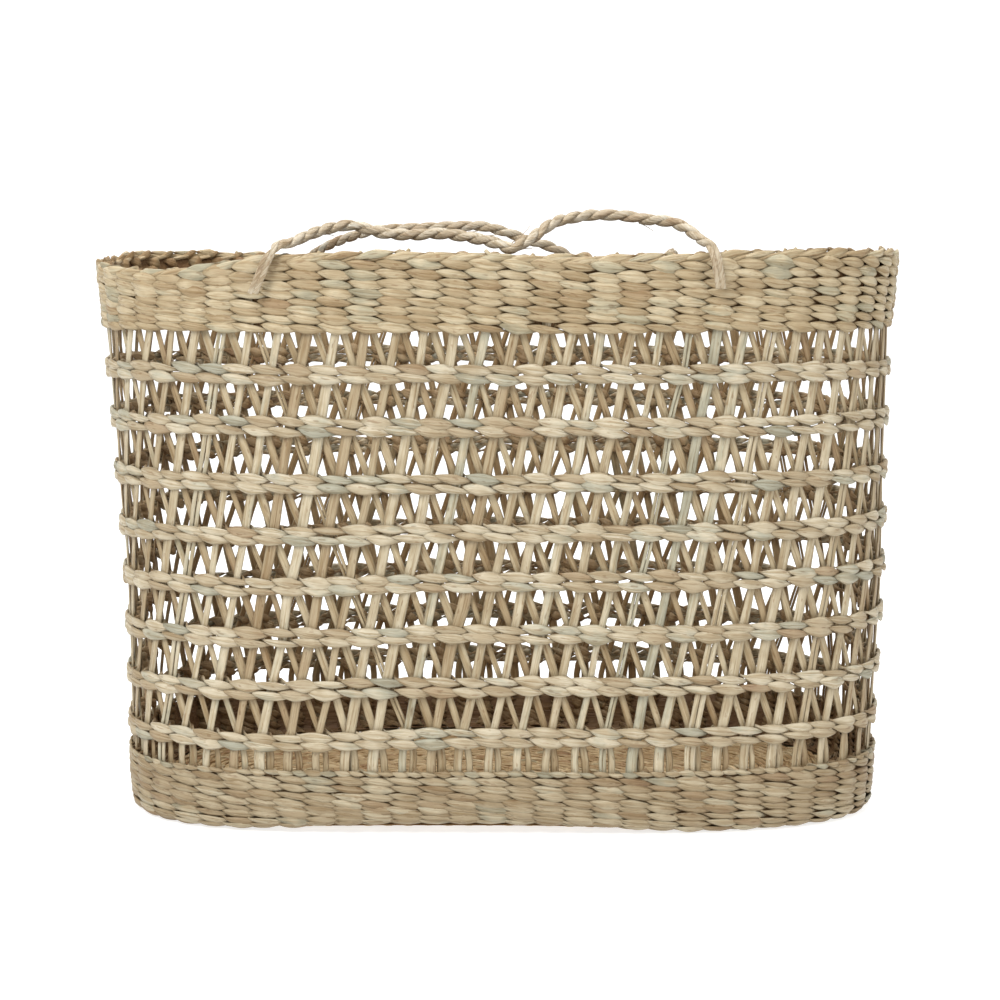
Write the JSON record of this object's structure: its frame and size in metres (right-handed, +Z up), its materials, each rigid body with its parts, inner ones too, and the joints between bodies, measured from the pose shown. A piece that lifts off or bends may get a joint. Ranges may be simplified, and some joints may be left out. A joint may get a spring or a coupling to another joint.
{
  "type": "straw basket bag",
  "caption": "Openwork straw basket bag with an oval flat floor, crossing flat stakes tied by double twined rows, a dense rim and base, and twisted rope handles.",
  "frame": {"origin": "middle of the underside of the floor, at the centre of the overall box", "axes": "+X along the bag's long side, to the right seen from the front; the front faces -Y; +Z up"},
  "size_m": [0.3972, 0.1996, 0.292],
  "materials": {
    "straw_blade": "dry flat straw, pale, satin",
    "straw_blade_inner": "dry flat straw, a little browner, satin",
    "straw_twine": "soft folded straw, pale with a green cast, satin",
    "straw_band": "close twined straw, pale with warm strands, satin",
    "straw_shaded": "close woven straw, brown, matt",
    "straw_rope": "twisted straw rope, brown straw colour, matt"
  },
  "bodies": {
    "root": {"base_floor": "straw_shaded", "base_band": "straw_band", "outer_stakes_1": "straw_blade", "outer_stakes_2": "straw_blade", "outer_stakes_3": "straw_blade", "outer_stakes_4": "straw_blade", "outer_stakes_5": "straw_blade", "outer_stakes_6": "straw_blade", "outer_stakes_7": "straw_blade", "outer_stakes_8": "straw_blade", "inner_stakes_1": "straw_blade_inner", "inner_stakes_2": "straw_blade_inner", "inner_stakes_3": "straw_blade_inner", "inner_stakes_4": "straw_blade_inner", "inner_stakes_5": "straw_blade_inner", "inner_stakes_6": "straw_blade_inner", "inner_stakes_7": "straw_blade_inner", "inner_stakes_8": "straw_blade_inner", "twining_row_1": "straw_twine", "twining_row_2": "straw_twine", "twining_row_3": "straw_twine", "twining_row_4": "straw_twine", "twining_row_5": "straw_twine", "twining_row_6": "straw_twine", "twining_row_7": "straw_twine", "twining_row_8": "straw_twine", "rim_band": "straw_band", "front_handle": "straw_rope", "back_handle": "straw_rope"}
  },
  "joints": []
}
